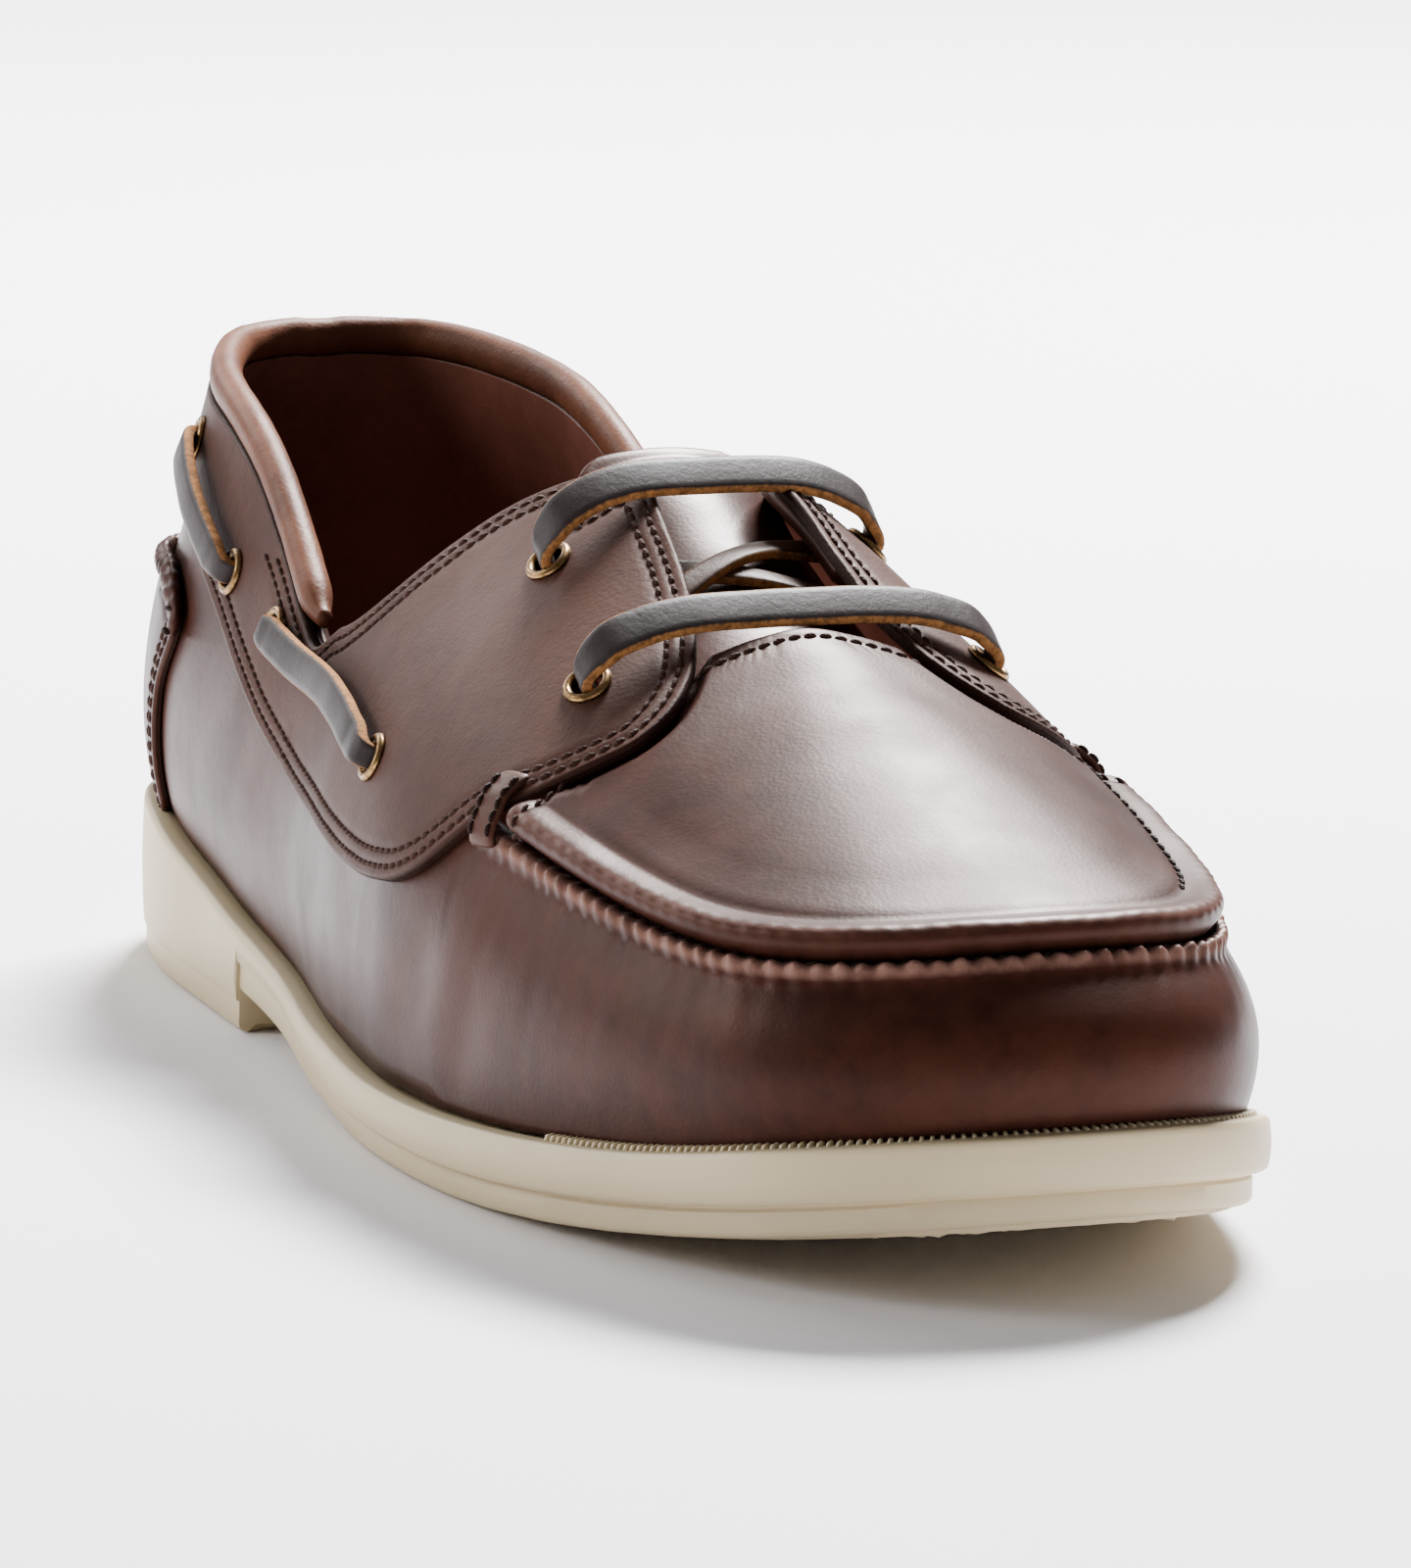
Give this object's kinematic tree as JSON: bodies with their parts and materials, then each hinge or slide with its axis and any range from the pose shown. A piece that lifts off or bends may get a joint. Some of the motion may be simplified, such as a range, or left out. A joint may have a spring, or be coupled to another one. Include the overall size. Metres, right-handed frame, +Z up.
{
  "type": "boat shoe",
  "caption": "Low moccasin-toe shoe in pull-up leather with a rubber boat sole, eyestay lacing and a rawhide lace run around the collar.",
  "frame": {"origin": "middle of the sole's outline on the floor", "axes": "+Y towards the heel, -Y towards the toe, -X the outer (lateral) side of the right foot, +Z up"},
  "size_m": [0.1076, 0.3, 0.097],
  "materials": {
    "outsole": "matt moulded rubber, ivory",
    "upper_leather": "polished pull-up leather, mid to dark red-brown",
    "saddle_leather": "waxed leather, brown",
    "collar_leather": "soft folded leather, tan-brown",
    "lining": "smooth lining leather, dark red-brown",
    "lace_leather": "flat rawhide lace, grey-brown face with tan suede edges",
    "eyelet_brass": "antique brass"
  },
  "bodies": {
    "root": {"sole": "outsole", "insole": "lining", "upper": "upper_leather", "tongue": "upper_leather", "heel_counter": "upper_leather", "collar_roll": "collar_leather", "plug_roll": "upper_leather", "saddle_lateral": "saddle_leather", "tab_lateral": "saddle_leather", "eyelet_lateral_upper": "eyelet_brass", "eyelet_lateral_lower": "eyelet_brass", "eyelet_lateral_side_1": "eyelet_brass", "eyelet_lateral_side_2": "eyelet_brass", "eyelet_lateral_side_3": "eyelet_brass", "eyelet_lateral_side_4": "eyelet_brass", "side_lace_lateral_front": "lace_leather", "side_lace_lateral_rear": "lace_leather", "saddle_medial": "saddle_leather", "tab_medial": "saddle_leather", "eyelet_medial_upper": "eyelet_brass", "eyelet_medial_lower": "eyelet_brass", "eyelet_medial_side_1": "eyelet_brass", "eyelet_medial_side_2": "eyelet_brass", "eyelet_medial_side_3": "eyelet_brass", "eyelet_medial_side_4": "eyelet_brass", "side_lace_medial_front": "lace_leather", "side_lace_medial_rear": "lace_leather", "lace_bar_upper": "lace_leather", "lace_bar_lower": "lace_leather", "lace_cross": "lace_leather"}
  },
  "joints": []
}
